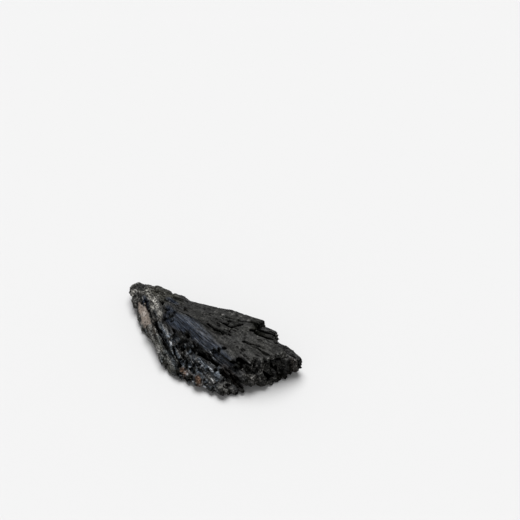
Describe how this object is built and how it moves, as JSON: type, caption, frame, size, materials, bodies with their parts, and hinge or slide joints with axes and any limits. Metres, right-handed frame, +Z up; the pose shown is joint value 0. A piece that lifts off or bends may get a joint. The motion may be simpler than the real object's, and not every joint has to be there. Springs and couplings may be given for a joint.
{
  "type": "black kyanite fan",
  "caption": "Natural fan of black kyanite blades, narrow at one end and broken off in ragged layers at the other, lying on a flat cleavage.",
  "frame": {"origin": "bottom centre of the bounding box, on the surface that the fan lies on", "axes": "+X along the fan, from its narrow tip to its broad broken end; +Y across it, towards the thick rim of the plate; +Z up, out of the flat cleavage it lies on"},
  "size_m": [0.0522, 0.0272, 0.0093],
  "materials": {
    "kyanite": "satin"
  },
  "bodies": {
    "root": {"fan": "kyanite"}
  },
  "joints": []
}
